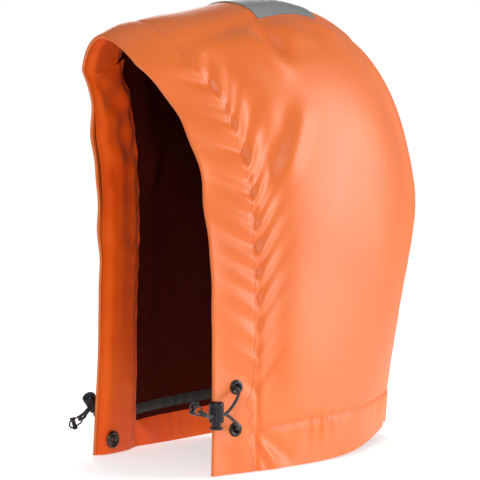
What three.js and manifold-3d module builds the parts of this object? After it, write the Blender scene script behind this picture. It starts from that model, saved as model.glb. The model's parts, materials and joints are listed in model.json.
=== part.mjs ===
// A detachable high-visibility rain hood, in millimetres, +Z up. The wearer faces -Y, so the left side is +X.
// Three outer panels, a drawcord channel round the face opening, a hem band at the neck, an inner lining and
// facings, and on each side a doubled elastic cord with a barrel cord lock, a pull loop with a cross bar and a
// press stud.
import * as THREE from "three";
import { mergeVertices } from "three/addons/utils/BufferGeometryUtils.js";
import Module from "manifold-3d";

// ---- driving dimensions -----------------------------------------------------------------------------
const PEAK_REACH = 61; // how far the peak juts out in front of the opening's upright edges
const HOOD_DEPTH = 307; // from the opening's upright edges to the rearmost point
const CROWN_HEIGHT = 404; // top of the crown above the hem
const PEAK_DROP = 49; // how far the face opening's peak lies below the top of the crown
const FACE_RISE = CROWN_HEIGHT - PEAK_DROP; // height of that peak above the hem
const EDGE_FOOT = -3; // place of the edge's foot behind its upright part
const OPENING_HALF = 77; // half width that the opening's edges tend to at the hem
const SIDE_HALF = 100; // half width that the side panels tend to at mid height
const HEM_HALF = 95; // the same at the hem
const HEM_LIFT = 13; // how much higher the hem is at the back
const CROWN_SHARE = 0.49; // share of the centre line that lies over the crown, before it turns down the back
const PANEL_HALF_FRONT = 34; // half width of the centre panel at the peak
const PANEL_HALF = 46; // half width of the centre panel over the crown and down the back
const BAND_WIDTH = 41; // drawcord channel round the face opening
const FACING_WIDTH = 52; // inner facing behind it
const HEM_BAND = 32; // height of the hem band and its inner facing
const CLOTH = 1.2; // thickness of the outer cloth stand-in
const LINER = 0.9; // thickness of linings and facings
const GAP = 0.35; // clearance between pieces that touch
const LAYER_GAP = 0.9; // clearance between stacked layers of cloth
const CORD = 2.6; // diameter of the elastic cord
const CORD_ROOM = 1.2; // clearance round the cord in its channel
const CORD_LINE = 22; // distance of the cord and the eyelets from the opening's edge
const EYELET_HIGH = 68.5; // height of the upper eyelet above the hem
const EYELET_LOW = 35; // height of the lower eyelet
const EYELET_HOLE = 5.4;
const EYELET_WALL = 0.9;
const EYELET_FLANGE = 12.4; // outer diameter of the eyelet's rim
const EYELET_RIM = 1.3; // height of the rim
const EYELET_LIP = 0.05; // how far the eyelet's barrel stands out behind its washer
const WASHER = 0.6; // thickness of the washer behind the cloth
const STUD = 15; // outer diameter of the press stud's socket
const STUD_HEIGHT = 2.6;
const STUD_SOCKET = 4.6; // diameter of the socket's recess
const STUD_IN = 15; // distance of the stud from the opening's edge
const STUD_UP = 13; // height of the stud above the hem
const STUD_STEM = 1.7; // radius of the stem that joins the stud's socket and backing
const STUD_BACKING_EDGE = 1.5; // how far the backing's edge lies inside the socket's
const STUD_BACKING = 0.8; // thickness of the backing
const BINDING_WIDTH = 8; // tape over the foot of the lining
const BINDING_THICK = 1.2;
const PATCH_START = 143; // distance of the reflective patch behind the peak, along the crown
const PATCH_LENGTH = 82;
const LOCK = 12; // outer diameter of the cord lock's barrel
const LOCK_TOP = 11; // the barrel's top above the cords
const LOCK_FOOT = 6; // the barrel's foot below them
const LOCK_BORE = 8.4;
const LOCK_ROOF = 1.6; // wall over the bore
const CORD_PITCH = 2.9; // spacing of the doubled cord's two runs
const TRAVEL = 3; // travel of the plunger
const PLUNGER_FLANGE = 10.8;
const PLUNGER_FLANGE_HEIGHT = 2.2;
const HEAD_WALL = 1.4; // the plunger's wall over the cords
const SPRING_BORE = 1.7; // inner radius of the spring
const SPRING_RADIUS = 3.1;
const BAR_LENGTH = 11; // cross bar on the pull loop
const BAR_KNOB = 4.6;
const BAR_WAIST = 3.6;
const BAR_INSET = 1.6; // how far the bar's middle lies inside the end of the loop's sides
const LOOP_WIRE = 1.4; // thickness of the thin pull loop
const LOOP_HALF_HEIGHT = 3.3; // its half height at the wire's centre
const LOOP_STRAIGHT = 8; // straight length of its sides

// The cord's route on each side, from the upper eyelet to the lower one, as [forward, outward, up] from the
// point midway between the two eyelets.
const LEFT_ROUTE = [
  [-0.8, -3.7, 16.75], [0.3, 1.8, 16.75], [1.9, 5.6, 15.4], [6.2, 8.8, 11], [12.4, 10.3, 5.4], [17.6, 10.5, 1],
  [22, 10.45, -1.3], [26, 10.45, -1.8], [35, 10.45, -1.8], [40.2, 10.45, -1.8], [43.4, 11.1, -0.9],
  [46.2, 12.1, 0.8], [49.4, 9, 2.6], [46.2, 5.9, 0.8], [43.4, 6.9, -0.9], [40.2, 7.55, -1.8],
  [35, 7.55, -1.8], [26, 7.55, -1.8], [22, 7.5, -2.1], [17.2, 7.4, -3.4], [11.2, 7.3, -7],
  [5.6, 6.8, -11.6], [1.4, 4.8, -15.8], [0, 1.4, -16.75], [0, -3.7, -16.75],
];
const RIGHT_ROUTE = [
  [-0.8, -3.7, 16.75], [0.2, 1.8, 16.75], [1.1, 5.8, 15.6], [2.2, 9.2, 12], [3.2, 11, 6.5], [4.2, 11.4, 1.2],
  [6.5, 11.45, -4.1], [10.1, 11.45, -7], [16.3, 11.45, -11.8], [21.8, 11.45, -16.1], [24.3, 11.9, -18.1],
  [26.9, 13.1, -20], [29.6, 10, -22.2], [26.9, 6.9, -20], [24.3, 8.1, -18.1], [21.8, 8.55, -16.1],
  [16.3, 8.55, -11.8], [10.1, 8.55, -7], [6.2, 8.5, -4.4], [2.4, 8.4, -4.4], [-0.6, 8, -7.4],
  [-1.4, 7, -11.6], [-0.6, 4.6, -15.6], [0, 1.2, -16.75], [0, -3.7, -16.75],
];
// Where each lock sits on its cord, and how far its cord is tipped down from level, in degrees.
const LEFT_LOCK = { forward: 31, outward: 9, up: -1.8, tip: 0, loopTip: -30 };
const RIGHT_LOCK = { forward: 14, outward: 10, up: -10, tip: 37.8, loopTip: 20 };

const { lerp, degToRad, clamp } = THREE.MathUtils;
const wasm = await Module();
wasm.setup();

// ---- materials --------------------------------------------------------------------------------------
const finish = (color, roughness, metalness = 0) =>
  new THREE.MeshStandardMaterial({ color, roughness, metalness });
const ORANGE = finish(0xf2773a, 0.6);
const LINING = finish(0x2a0f0c, 0.85);
const REFLECTIVE = finish(0x9a9da0, 0.35, 0.3);
const BINDING = finish(0x111111, 0.8);
const ELASTIC = finish(0x121212, 0.7);
const BLACK_PLASTIC = finish(0x16171a, 0.3);
const GUNMETAL = finish(0x2c2522, 0.35, 0.9);
const SPRING_STEEL = finish(0xb9bcc0, 0.3, 1);

// ---- the hood's surface -----------------------------------------------------------------------------
// The centre line runs from the peak over the crown and down the back. Its points are fractions of the hood's
// reach, depth and height, in the plane x = 0.
const centreProfile = [
  [-PEAK_REACH / HOOD_DEPTH, FACE_RISE / CROWN_HEIGHT], [-0.057, 0.92], [0.073, 0.946], [0.182, 0.967],
  [0.31, 0.99], [0.42, 1], [0.53, 0.994], [0.625, 0.975], [0.72, 0.937], [0.808, 0.879], [0.884, 0.806],
  [0.944, 0.72], [0.985, 0.628], [1, 0.54], [0.981, 0.42], [0.944, 0.294], [0.92, 0.17],
  [0.908, HEM_LIFT / CROWN_HEIGHT],
];
const centreLine = new THREE.SplineCurve(
  centreProfile.map(([y, z]) => new THREE.Vector2(y * HOOD_DEPTH, z * CROWN_HEIGHT)),
);
const lineLength = centreLine.getLength();
const crownLength = CROWN_SHARE * lineLength;
const LINE_STEPS = 180;
const linePoints = centreLine.getSpacedPoints(LINE_STEPS);

// The opening's edge, seen from the side, up to the centre panel's seam.
const edgeLine = (top) =>
  new THREE.SplineCurve([
    new THREE.Vector2(EDGE_FOOT, 0),
    new THREE.Vector2(-1, 0.15 * FACE_RISE),
    new THREE.Vector2(0, 0.32 * FACE_RISE),
    new THREE.Vector2(-1, 0.51 * FACE_RISE),
    new THREE.Vector2(-0.1 * PEAK_REACH, 0.68 * FACE_RISE),
    new THREE.Vector2(-0.26 * PEAK_REACH, 0.768 * FACE_RISE),
    new THREE.Vector2(-0.41 * PEAK_REACH, 0.835 * FACE_RISE),
    top,
  ]);
const hemPlace = (s) =>
  new THREE.Vector2(lerp(EDGE_FOOT, SEAM_FOOT.x, s), SEAM_FOOT.y * Math.pow(clamp((s - 0.4) / 0.6, 0, 1), 2));

// s runs from the opening's edge to the back, t from the hem to the crown.
const nearEdge = (s) => Math.exp(-s / 0.18);
const spread = (s, t) => 61 + 35 * nearEdge(s) + 64 * s * s * Math.pow(1 - t, 3);
const power = (s) => 0.5 + 0.05 * nearEdge(s);
function halfWidth(s, t) {
  const edge = OPENING_HALF - 2 * (1 - Math.pow(1 - t, 8));
  const side = HEM_HALF + (SIDE_HALF - HEM_HALF) * Math.sin(Math.PI * Math.min(t, 0.5));
  return lerp(edge, side, 1 - Math.exp(-((s / 0.26) ** 2)));
}
const panelHalf = (s) => lerp(PANEL_HALF, PANEL_HALF_FRONT, Math.exp(-s / 0.08));
const widthAt = (inset, s, t) => halfWidth(s, t) * Math.pow(1 - Math.exp(-inset / spread(s, t)), power(s));
const insetAt = (x, s, t) =>
  -spread(s, t) * Math.log(1 - Math.pow(Math.abs(x) / halfWidth(s, t), 1 / power(s)));

// A point on the centre strip: along runs 0 to 1 over the crown and 1 to 2 down the back.
const patchPlace = (along) => (along <= 1 ? [along, 1] : [1, 2 - along]);
function lineFrame(along) {
  const at = along <= 1 ? along * CROWN_SHARE : CROWN_SHARE + (along - 1) * (1 - CROWN_SHARE);
  const point = centreLine.getPointAt(clamp(at, 0, 1));
  const tangent = centreLine.getTangentAt(clamp(at, 0, 1));
  return { point, inward: new THREE.Vector2(tangent.y, -tangent.x) };
}
function stripPoint(along, x) {
  const { point, inward } = lineFrame(along);
  const inset = insetAt(x, ...patchPlace(along));
  return new THREE.Vector3(x, point.x + inward.x * inset, point.y + inward.y * inset);
}
const seamPoint = (along) => {
  const { y, z } = stripPoint(along, panelHalf(patchPlace(along)[0]));
  return new THREE.Vector2(y, z);
};
const edge = edgeLine(seamPoint(0));
const SEAM_FOOT = seamPoint(2);
const CORNER = seamPoint(1);
const EDGE_TOP = seamPoint(0);

function insetOf(y, z) {
  let best = Infinity;
  for (let i = 0; i + 1 < linePoints.length; i++) {
    const a = linePoints[i], b = linePoints[i + 1];
    const dy = b.x - a.x, dz = b.y - a.y;
    const at = clamp(((y - a.x) * dy + (z - a.y) * dz) / (dy * dy + dz * dz), 0, 1);
    best = Math.min(best, Math.hypot(y - a.x - at * dy, z - a.y - at * dz));
  }
  return best;
}
// A point on the left side panel, by a blend of its four edges.
function sidePoint(s, t) {
  const hem = hemPlace(s);
  const crown = seamPoint(s);
  const front = edge.getPointAt(clamp(t, 0, 1));
  const back = seamPoint(2 - t);
  const blend = (k) =>
    (1 - t) * hem[k] + t * crown[k] + (1 - s) * front[k] + s * back[k]
    - s * (1 - t) * SEAM_FOOT[k] - (1 - s) * t * EDGE_TOP[k] - s * t * CORNER[k];
  const y = blend("x"), z = blend("y");
  return new THREE.Vector3(widthAt(insetOf(y, z), s, t), y, z);
}
const DELTA = 2e-3; // step of the differences that give the surface's normals
function normalOf(point, u, v, limits) {
  const low = (k, least) => Math.max(k - DELTA, least), high = (k, most) => Math.min(k + DELTA, most);
  const du = point(high(u, limits[1]), v).sub(point(low(u, limits[0]), v));
  const dv = point(u, high(v, limits[3])).sub(point(u, low(v, limits[2])));
  return du.cross(dv).normalize();
}
const SIDE_LIMITS = [0, 1, 0, 1];
const STRIP_LIMITS = [0, 2, -1.1, 1.1];
const rowLength = (t) => lerp(SEAM_FOOT.x - EDGE_FOOT, crownLength, t);
const HEM_ROW = HEM_BAND / edge.getLength();
const side = {
  point: sidePoint,
  normal(s, t) {
    const n = normalOf(sidePoint, s, t, SIDE_LIMITS);
    if (t === 0) n.z = 0;
    return n.normalize();
  },
};
// The strip takes its place across as a share of the seam's half width, from -1 at the right to 1 at the
// left.
const stripAt = (along, share) => stripPoint(along, share * panelHalf(patchPlace(along)[0]));
const strip = {
  point: stripAt,
  normal(along, share) {
    const n = normalOf(stripAt, along, share, STRIP_LIMITS).negate();
    if (along === 2) n.z = 0;
    return n.normalize();
  },
};

// ---- closed sheets ----------------------------------------------------------------------------------
// Each row is a list of [outer point, inner point]; the sheet is the closed skin round all of them.
function sheet(rows) {
  const across = rows[0].length, down = rows.length;
  const positions = rows.flat().flatMap(([outer, inner]) => [...outer.toArray(), ...inner.toArray()]);
  const outer = (i, j) => 2 * (i * across + j), inner = (i, j) => outer(i, j) + 1;
  const index = [];
  const quad = (a, b, c, d) => index.push(a, b, c, a, c, d);
  for (let i = 0; i + 1 < down; i++)
    for (let j = 0; j + 1 < across; j++) {
      quad(outer(i, j), outer(i, j + 1), outer(i + 1, j + 1), outer(i + 1, j));
      quad(inner(i, j), inner(i + 1, j), inner(i + 1, j + 1), inner(i, j + 1));
    }
  for (let i = 0; i + 1 < down; i++) {
    quad(outer(i, 0), outer(i + 1, 0), inner(i + 1, 0), inner(i, 0));
    quad(outer(i, across - 1), inner(i, across - 1), inner(i + 1, across - 1), outer(i + 1, across - 1));
  }
  for (let j = 0; j + 1 < across; j++) {
    quad(outer(0, j), inner(0, j), inner(0, j + 1), outer(0, j + 1));
    quad(outer(down - 1, j), outer(down - 1, j + 1), inner(down - 1, j + 1), inner(down - 1, j));
  }
  const geometry = new THREE.BufferGeometry();
  geometry.setAttribute("position", new THREE.Float32BufferAttribute(positions, 3));
  geometry.setIndex(index);
  geometry.computeVertexNormals();
  return geometry;
}
const steps = (from, to, count) => Array.from({ length: count + 1 }, (_, i) => lerp(from, to, i / count));
const raised = (surface, u, v, offset) => surface.point(u, v).addScaledVector(surface.normal(u, v), offset);

// A plain layer of cloth between two offsets from the surface. us and vs give each row's and column's places.
const layer = (surface, us, vs, top, bottom) =>
  sheet(vs.map((v) => us(v).map((u) => [raised(surface, u, v, top), raised(surface, u, v, bottom)])));

function mirrored(geometry) {
  const copy = geometry.clone().scale(-1, 1, 1);
  const index = copy.index.array;
  for (let i = 0; i < index.length; i += 3) [index[i + 1], index[i + 2]] = [index[i + 2], index[i + 1]];
  copy.computeVertexNormals();
  return copy;
}

// ---- booleans ---------------------------------------------------------------------------------------
function solid(geometry) {
  const bare = geometry.clone();
  bare.deleteAttribute("normal");
  bare.deleteAttribute("uv");
  const merged = mergeVertices(bare, 1e-4);
  return new wasm.Manifold(
    new wasm.Mesh({
      numProp: 3,
      vertProperties: new Float32Array(merged.attributes.position.array),
      triVerts: new Uint32Array(merged.index.array),
    }),
  );
}
function surfaceOf(body) {
  const mesh = body.getMesh();
  const geometry = new THREE.BufferGeometry();
  geometry.setAttribute("position", new THREE.BufferAttribute(new Float32Array(mesh.vertProperties), 3));
  geometry.setIndex(new THREE.BufferAttribute(new Uint32Array(mesh.triVerts), 1));
  geometry.computeVertexNormals();
  return geometry;
}
const cut = (geometry, ...tools) =>
  surfaceOf(tools.reduce((body, tool) => body.subtract(solid(tool)), solid(geometry)));

// ---- small shapes -----------------------------------------------------------------------------------
// Turned round Z from [radius, height] points, counter-clockwise as seen with the radius to the right.
const ROUND = 16;
const turned = (points, closed = false, sides = ROUND) =>
  new THREE.LatheGeometry(
    [...points, ...(closed ? [points[0]] : [])].map(([r, z]) => new THREE.Vector2(r, z)), sides,
  ).rotateX(Math.PI / 2);
const ring = (innerRadius, outerRadius, low, high) =>
  turned([[innerRadius, low], [outerRadius, low], [outerRadius, high], [innerRadius, high]], true);
const drill = (radius, low, high) => new THREE.CylinderGeometry(radius, radius, high - low, ROUND)
  .rotateX(Math.PI / 2).translate(0, 0, (low + high) / 2);
function tube(points, diameter, count, sides = 8) {
  const circle = new THREE.Shape(
    Array.from({ length: sides }, (_, i) => {
      const turn = (2 * Math.PI * i) / sides;
      return new THREE.Vector2(Math.cos(turn), Math.sin(turn)).multiplyScalar(diameter / 2);
    }),
  );
  const extrudePath = new THREE.CatmullRomCurve3(points, false, "centripetal");
  return new THREE.ExtrudeGeometry(circle, { steps: count, bevelEnabled: false, extrudePath });
}

// ---- assembly ---------------------------------------------------------------------------------------
const hood = new THREE.Group();
function place(name, geometry, material, parent = hood) {
  const mesh = new THREE.Mesh(geometry, material);
  mesh.name = name;
  parent.add(mesh);
  return mesh;
}
const pair = (name, geometry, material) => {
  place(`left_${name}`, geometry, material);
  place(`right_${name}`, mirrored(geometry), material);
};

const CHANNEL = CLOTH + 2 * CORD_ROOM + CORD; // depth of the facing below the outer surface
const FOLD = CHANNEL + LINER;
const LINING_TOP = CLOTH + LAYER_GAP;
const LINING_FOOT = LINING_TOP + LINER;
const SIDE_COLUMNS = 9, SHARES = 6; // facets across the side panels and the centre panel
const edgeRows = [...steps(0, HEM_ROW, 2), ...steps(HEM_ROW, 0.6, 5).slice(1), ...steps(0.6, 1, 10).slice(1)];
const bandEnd = (t) => BAND_WIDTH / rowLength(t);
const facingEnd = (t) => FACING_WIDTH / rowLength(t);
const shareGap = GAP / PANEL_HALF;

// The channel's outer layer is folded in round the opening's edge, so each row starts inside and comes out.
function foldedRows(surface, rows, end, place) {
  return rows.map((v) => {
    const at = (distance) => place(distance, v);
    const point = (distance, offset) => raised(surface, ...at(distance), -offset);
    const cells = [[point(0, FOLD), point(CLOTH, FOLD)], [point(0, 0), point(CLOTH, CLOTH)]];
    for (const distance of steps(0, end, 5).slice(1)) {
      const d = Math.max(distance, 2 * CLOTH);
      cells.push([point(d, 0), point(d, CLOTH)]);
    }
    return cells;
  });
}
const sideRows = [...edgeRows.slice(0, -1), 1 - GAP / edge.getLength()];
const brimBand = sheet(foldedRows(side, sideRows, BAND_WIDTH, (d, t) => [d / rowLength(t), t]));
const shares = steps(1, -1, SHARES).map((share) => share * (1 - shareGap));
const brimTop = sheet(foldedRows(strip, shares, BAND_WIDTH, (d, share) => [d / crownLength, share]));
// Every layer of a panel has the same columns behind the facing's edge, so that its facets lie parallel.
const columnsFrom = (start, middle, end, count) => [...start, ...steps(middle, end, count)];
const sideEnd = (t) => 1 - GAP / rowLength(t);
const sideSteps = (t) =>
  columnsFrom([bandEnd(t) + GAP / rowLength(t)], facingEnd(t) + GAP / rowLength(t), sideEnd(t), SIDE_COLUMNS);
const hemRows = edgeRows.filter((t) => t <= HEM_ROW);
const upperRows = [HEM_ROW + GAP / edge.getLength(), ...sideRows.filter((t) => t > HEM_ROW)];
const inner = (t) => columnsFrom([], facingEnd(t) + GAP / rowLength(t), sideEnd(t), SIDE_COLUMNS);
const facingSteps = (t) => steps(2 * CLOTH, FACING_WIDTH, 4).map((d) => d / rowLength(t));

// Eyelets, studs and cord ends sit in the surface's own frames.
const rowAtHeight = (height) => height / edge.getLength();
function frameAt(distance, height, hand) {
  const t = rowAtHeight(height);
  const s = distance / rowLength(t);
  const origin = side.point(s, t), normal = side.normal(s, t);
  origin.x *= hand;
  normal.x *= hand;
  const up = new THREE.Vector3(0, 0, 1);
  const across = up.clone().cross(normal).normalize();
  const frame = new THREE.Matrix4().makeBasis(across, normal.clone().cross(across), normal);
  return frame.setPosition(origin);
}
const holeRadius = EYELET_HOLE / 2 + EYELET_WALL + GAP;
const holeTools = [EYELET_HIGH, EYELET_LOW].map((height) =>
  drill(holeRadius, -3 * CLOTH, 2 * CLOTH).applyMatrix4(frameAt(CORD_LINE, height, 1)));
const studHole = drill(STUD_STEM + GAP, -FOLD - 2, -CHANNEL + 2).applyMatrix4(frameAt(STUD_IN, STUD_UP, 1));

pair("brim_band", cut(brimBand, ...holeTools), ORANGE);
place("top_brim_band", brimTop, ORANGE);
pair("side_panel", layer(side, sideSteps, upperRows, 0, -CLOTH), ORANGE);
pair("neck_band", layer(side, sideSteps, hemRows, 0, -CLOTH), ORANGE);
pair("facing", cut(layer(side, facingSteps, sideRows, -CHANNEL, -FOLD), studHole), ORANGE);
pair("neck_facing", layer(side, inner, hemRows, -LINING_TOP, -LINING_FOOT), ORANGE);
pair("side_lining", layer(side, inner, upperRows, -LINING_TOP, -LINING_FOOT), LINING);

// The centre pieces: rows run across the strip, columns along it.
const hemAlong = 2 - HEM_ROW;
const alongSteps = (from, to, count) => () => steps(from, to, count);
// The strip's columns are the side panel's columns over the crown and its rows down the back.
const overCrown = (columns) => columns(1).slice(0, -1);
const downBack = [...upperRows.slice(0, -1), 1].reverse().map((t) => 2 - t);
const stripLayer = (from, to, count, top, bottom, across = shares) =>
  layer(strip, alongSteps(from, to, count), across, top, bottom);
const centreLayer = (columns, top, bottom) =>
  layer(strip, () => [...overCrown(columns), ...downBack], shares, top, bottom);
place("centre_panel", centreLayer(sideSteps, 0, -CLOTH), ORANGE);
place("back_neck_band", stripLayer(hemAlong, 2, 2, 0, -CLOTH), ORANGE);
const topFacing = [(2 * CLOTH) / crownLength, FACING_WIDTH / crownLength];
place("top_facing", stripLayer(...topFacing, 4, -CHANNEL, -FOLD), ORANGE);
place("centre_lining", centreLayer(inner, -LINING_TOP, -LINING_FOOT), LINING);
place("back_neck_facing", stripLayer(hemAlong, 2, 2, -LINING_TOP, -LINING_FOOT), ORANGE);
place(
  "reflective_patch",
  stripLayer(PATCH_START / crownLength, (PATCH_START + PATCH_LENGTH) / crownLength, 6, LINER, GAP, shares),
  REFLECTIVE,
);

const flipped = (point) => point.clone().multiply(new THREE.Vector3(-1, 1, 1));

// Black tape over the seam where the lining meets the neck facing, in one run round the neck.
function bindingRow(t) {
  const top = LINING_FOOT + LAYER_GAP, foot = top + BINDING_THICK;
  const cell = (surface, u, v) => [raised(surface, u, v, -top), raised(surface, u, v, -foot)];
  const left = inner(t).slice(0, -1).map((s) => cell(side, s, t));
  const middle = steps(1, -1, SHARES).map((share) => cell(strip, 2 - t, share));
  return [...left, ...middle, ...left.map((ends) => ends.map(flipped)).reverse()];
}
const bindingRows = [-0.5, 0.5].map((k) => HEM_ROW + (k * BINDING_WIDTH) / edge.getLength());
place("neck_binding", sheet(bindingRows.map(bindingRow)), BINDING);

// The elastic cord in its channel, from above one upper eyelet to the other.
const CORD_DEPTH = CLOTH + CORD_ROOM + CORD / 2;
function channelPoint(distance, t) {
  return raised(side, distance / rowLength(t), t, -CORD_DEPTH);
}
const cordFoot = rowAtHeight(EYELET_HIGH + CORD / 2 + GAP);
const leftRun = edgeRows.filter((t) => t > cordFoot).slice(0, -1).map((t) => channelPoint(CORD_LINE, t));
const crossRun = steps(2 / 3, -2 / 3, 4).map((share) =>
  raised(strip, CORD_LINE / crownLength, share, -CORD_DEPTH));
const rightRun = leftRun.map(flipped).reverse();
place("face_drawcord", tube([...leftRun, ...crossRun, ...rightRun], CORD, 76), ELASTIC);

function eyelet() {
  const hole = EYELET_HOLE / 2, barrel = hole + EYELET_WALL, rim = EYELET_FLANGE / 2;
  const foot = -CLOTH - GAP - WASHER - EYELET_LIP;
  return turned(
    [[hole, foot], [barrel, foot], [barrel, GAP], [rim - 0.4, GAP], [rim, GAP + 0.4 * EYELET_RIM],
      [rim - 0.7, GAP + 0.9 * EYELET_RIM], [rim - 1.7, GAP + EYELET_RIM],
      [hole + 0.5, GAP + 0.8 * EYELET_RIM], [hole, GAP + 0.4 * EYELET_RIM]],
    true,
  );
}
function washer() {
  const hole = EYELET_HOLE / 2 + EYELET_WALL + GAP;
  return ring(hole, EYELET_FLANGE / 2 - 0.6, -CLOTH - GAP - WASHER, -CLOTH - GAP);
}
function studSocket() {
  const r = STUD / 2, back = -FOLD - LAYER_GAP, face = back - STUD_HEIGHT, recess = STUD_SOCKET / 2;
  return turned(
    [[recess, face + 0.5], [recess + 0.9, face], [r - 1.2, face], [r, face + 1.1], [r, back], [recess, back]],
    true,
  );
}
function studBacking() {
  const head = -CHANNEL + GAP;
  const tip = -FOLD - LAYER_GAP - STUD_HEIGHT / 2, rim = STUD / 2 - STUD_BACKING_EDGE;
  return turned([[0, tip], [STUD_STEM, tip], [STUD_STEM, head], [rim, head], [rim, head + STUD_BACKING],
    [0, head + STUD_BACKING]]);
}

// The lock's frame: X forward along the cords, Y outward, Z along the barrel; the cords cross at its origin.
const slotLength = CORD_PITCH + CORD + 2 * GAP;
const slotBox = (low, high) =>
  new THREE.BoxGeometry(3 * LOCK, slotLength, high - low).translate(0, 0, (low + high) / 2);
const cordHigh = CORD / 2 + GAP;
function barrel() {
  const r = LOCK / 2;
  const body = turned([[0, -LOCK_FOOT], [r - 0.8, -LOCK_FOOT], [r, -LOCK_FOOT + 0.8], [r, LOCK_TOP - 2.4],
    [r - 0.8, LOCK_TOP - 0.8], [r - 2.4, LOCK_TOP], [0, LOCK_TOP]]);
  return cut(body, drill(LOCK_BORE / 2, -LOCK_FOOT - 1, LOCK_TOP - LOCK_ROOF), slotBox(-cordHigh, cordHigh));
}
const PLUNGER = LOCK_BORE / 2 - GAP;
const plungerHead = cordHigh + HEAD_WALL;
function plunger() {
  const top = -LOCK_FOOT - TRAVEL - GAP, foot = top - PLUNGER_FLANGE_HEIGHT, r = PLUNGER_FLANGE / 2;
  const body = turned([[0, foot], [r - 0.6, foot], [r, foot + 0.6], [r, top - 0.4], [r - 0.4, top],
    [PLUNGER, top], [PLUNGER, plungerHead], [0, plungerHead]]);
  return cut(body, slotBox(-cordHigh - TRAVEL, cordHigh));
}
const spring = () => ring(SPRING_BORE, SPRING_RADIUS, plungerHead + GAP, LOCK_TOP - LOCK_ROOF - GAP);

// The thin pull loop hooks round the cord's turn at its origin and reaches forward; the bar crosses its far
// end.
const loopReach = CORD / 2 + 2 * GAP + LOOP_WIRE / 2; // the wire's centre behind the cord's centre
function pullLoop() {
  const loop = new THREE.TorusGeometry(LOOP_HALF_HEIGHT, LOOP_WIRE / 2, 8, 18);
  const place = loop.attributes.position;
  for (let i = 0; i < place.count; i++)
    place.setX(i, place.getX(i) + (Math.sign(place.getX(i)) * LOOP_STRAIGHT) / 2);
  return loop.rotateX(Math.PI / 2).translate(LOOP_HALF_HEIGHT + LOOP_STRAIGHT / 2 - loopReach, 0, 0);
}
const barPlace = LOOP_STRAIGHT + LOOP_HALF_HEIGHT - loopReach - BAR_INSET;
function pullBar() {
  const half = BAR_LENGTH / 2, knob = BAR_KNOB / 2, waist = BAR_WAIST / 2;
  const bar = turned([[0, -half], [knob - 0.6, -half], [knob, -half + 0.7], [knob, -half + 1.6],
    [waist, -half + 2.4], [waist, half - 2.4], [knob, half - 1.6], [knob, half - 0.7], [knob - 0.6, half],
    [0, half]], false, 12);
  const holes = [1, -1].map((k) =>
    new THREE.CylinderGeometry(LOOP_WIRE / 2 + GAP, LOOP_WIRE / 2 + GAP, 3 * BAR_KNOB, 12)
      .rotateZ(Math.PI / 2).translate(0, 0, k * LOOP_HALF_HEIGHT));
  return cut(bar, ...holes);
}

function fittings(name, hand, route, lock) {
  for (const [which, height] of [["upper", EYELET_HIGH], ["lower", EYELET_LOW]]) {
    const spot = new THREE.Group();
    spot.applyMatrix4(frameAt(CORD_LINE, height, hand));
    hood.add(spot);
    place(`${name}_${which}_eyelet`, eyelet(), BLACK_PLASTIC, spot);
    place(`${name}_${which}_washer`, washer(), BLACK_PLASTIC, spot);
  }
  const corner = new THREE.Group();
  corner.applyMatrix4(frameAt(STUD_IN, STUD_UP, hand));
  hood.add(corner);
  place(`${name}_stud_socket`, studSocket(), GUNMETAL, corner);
  place(`${name}_stud_backing`, studBacking(), GUNMETAL, corner);

  const high = new THREE.Vector3().setFromMatrixPosition(frameAt(CORD_LINE, EYELET_HIGH, hand));
  const low = new THREE.Vector3().setFromMatrixPosition(frameAt(CORD_LINE, EYELET_LOW, hand));
  const middle = high.add(low).multiplyScalar(0.5);
  const at = ([forward, outward, up]) =>
    new THREE.Vector3(middle.x + hand * outward, middle.y - forward, middle.z + up);
  place(`${name}_cord_tail`, tube(route.map(at), CORD, 44), ELASTIC);

  // X forward is -Y of the hood, Y outward is +X or -X; the basis is right-handed for the left hand only.
  const forwardFrame = (point, tip) => {
    const frame = new THREE.Group();
    const tilt = degToRad(tip);
    const forward = new THREE.Vector3(0, -Math.cos(tilt), -Math.sin(tilt));
    const up = new THREE.Vector3(0, -Math.sin(tilt), Math.cos(tilt));
    const basis = new THREE.Matrix4().makeBasis(forward, up.clone().cross(forward), up);
    frame.applyMatrix4(basis.setPosition(point));
    hood.add(frame);
    return frame;
  };
  const lockFrame = forwardFrame(at([lock.forward, lock.outward, lock.up]), lock.tip);
  place(`${name}_lock_barrel`, barrel(), BLACK_PLASTIC, lockFrame);
  place(`${name}_lock_plunger`, plunger(), BLACK_PLASTIC, lockFrame);
  place(`${name}_lock_spring`, spring(), SPRING_STEEL, lockFrame);
  const turn = at(route[Math.floor(route.length / 2)]);
  const loopFrame = forwardFrame(turn, lock.loopTip);
  place(`${name}_pull_loop`, pullLoop(), ELASTIC, loopFrame);
  place(`${name}_pull_bar`, pullBar(), BLACK_PLASTIC, loopFrame).position.x = barPlace;
}
fittings("left", 1, LEFT_ROUTE, LEFT_LOCK);
fittings("right", -1, RIGHT_ROUTE, RIGHT_LOCK);

// The origin is under the middle of the hood, on the surface that its hem stands on.
hood.position.y = (PEAK_REACH - HOOD_DEPTH) / 2;

export default hood;
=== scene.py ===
"""A detachable high-visibility rain hood: coated orange cloth with a gathered drawcord channel, a dark
mesh lining, a reflective crown patch, and a doubled elastic cord with a barrel lock on each side.
Everything is in metres, and the wearer faces -Y."""

import json
import math

import bpy
import numpy as np
from mathutils import Matrix, Vector


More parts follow.
